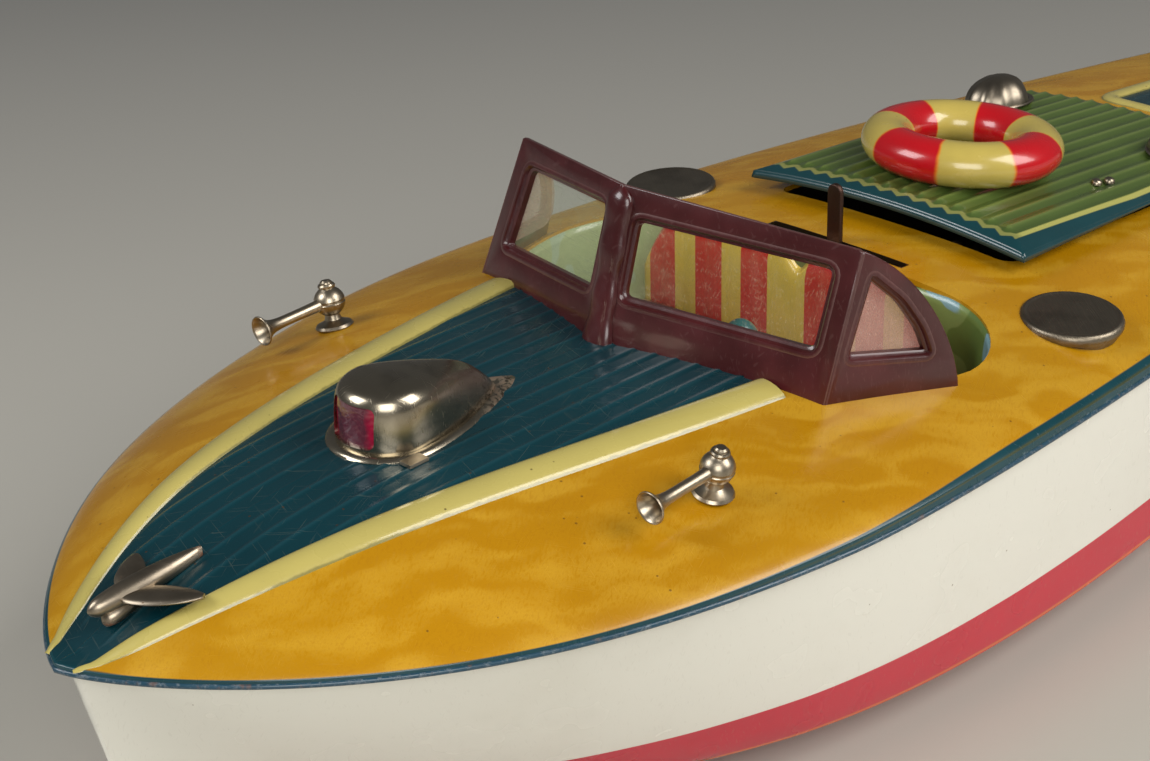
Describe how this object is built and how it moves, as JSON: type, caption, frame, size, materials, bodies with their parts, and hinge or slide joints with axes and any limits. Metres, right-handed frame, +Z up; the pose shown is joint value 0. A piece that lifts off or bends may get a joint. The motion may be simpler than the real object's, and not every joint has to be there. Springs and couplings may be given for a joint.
{
  "type": "toy boat",
  "caption": "Tinplate toy speedboat with wood-grain deck, split windscreen, lift-off battery hatch, swinging switch lever, turning propeller and steering rudder.",
  "frame": {"origin": "centre of the bounding box, at the level of the flat of the keel", "axes": "+Z up; +Y aft, from bow to rudder; +X to port"},
  "size_m": [0.1154, 0.368, 0.078],
  "materials": {
    "white_enamel": "gloss enamel on tinplate",
    "wood_print": "wood-grain lithograph under gloss varnish",
    "maroon_enamel": "gloss enamel, worn at the edges",
    "green_print": "printed tinplate",
    "hatch_print": "printed tinplate, ribbed",
    "striped_print": "striped lithograph",
    "teal_print": "printed tinplate",
    "ring_print": "gloss enamel, alternating sectors",
    "nickel": "nickel plate, lightly rusted",
    "tinplate": "bare tinplate",
    "dark_steel": "blued and tarnished",
    "steel_rod": "drawn rod",
    "brass": "dull",
    "celluloid": "hazy celluloid",
    "red_lens": "translucent",
    "bulb_glass": "clear",
    "board": "brown fibre board",
    "black_cap": "moulded"
  },
  "bodies": {
    "boat": {"hull_shell": "white_enamel", "deck_shell": "wood_print", "bow_ornament": "nickel", "lamp_housing": "nickel", "lamp_lens": "red_lens", "lamp_bulb": "bulb_glass", "lamp_socket": "brass", "horn_post_port": "nickel", "horn_post_starboard": "nickel", "horn_trumpet_port": "nickel", "horn_trumpet_starboard": "nickel", "windscreen_frame": "maroon_enamel", "pane_front_port": "celluloid", "pane_front_starboard": "celluloid", "pane_side_port": "celluloid", "pane_side_starboard": "celluloid", "cockpit_tub": "green_print", "seat_back": "striped_print", "seat_cushion": "striped_print", "dash_console": "teal_print", "cap_port": "nickel", "cap_starboard": "nickel", "lever_pin": "brass", "lever_bracket": "tinplate", "battery_tray": "tinplate", "contact_spring_port": "brass", "contact_spring_starboard": "brass", "contact_button_port": "brass", "contact_button_starboard": "brass", "terminal_board": "board", "terminal_rivet": "nickel", "motor_can": "tinplate", "motor_end_cap": "black_cap", "motor_bracket": "tinplate", "stern_tube": "brass", "rudder_bracket": "brass"},
    "lid": {"hatch_lid": "hatch_print", "life_ring": "ring_print", "vent_port": "nickel", "vent_starboard": "nickel", "lid_rivet_fore": "nickel", "lid_rivet_aft": "nickel", "lid_clip_port": "tinplate", "lid_clip_starboard": "tinplate"},
    "lever": {"control_lever": "dark_steel", "switch_wiper": "brass"},
    "drive": {"motor_rotor": "dark_steel", "shaft_coupling": "brass", "propeller_shaft": "steel_rod", "propeller": "brass", "propeller_nut": "brass"},
    "rudder": {"rudder_stock": "dark_steel", "rudder_blade": "brass"}
  },
  "joints": [
    {"name": "lever_swing", "type": "hinge", "parent": "boat", "child": "lever", "pos_m": [0, -0.0297, 0.03852], "axis": [0, 1, 0], "range_deg": [-38, 38]},
    {"name": "lid_lift", "type": "slide", "parent": "boat", "child": "lid", "axis": [0, 0, 1], "range_m": [0, 0.05]},
    {"name": "shaft_spin", "type": "hinge", "parent": "boat", "child": "drive", "pos_m": [0, 0.166, 0.011], "axis": [0, 0.9903, -0.1386], "continuous": true},
    {"name": "rudder_turn", "type": "hinge", "parent": "boat", "child": "rudder", "pos_m": [0, 0.176, 0.02], "axis": [0, 0, 1], "range_deg": [-35, 35]}
  ]
}
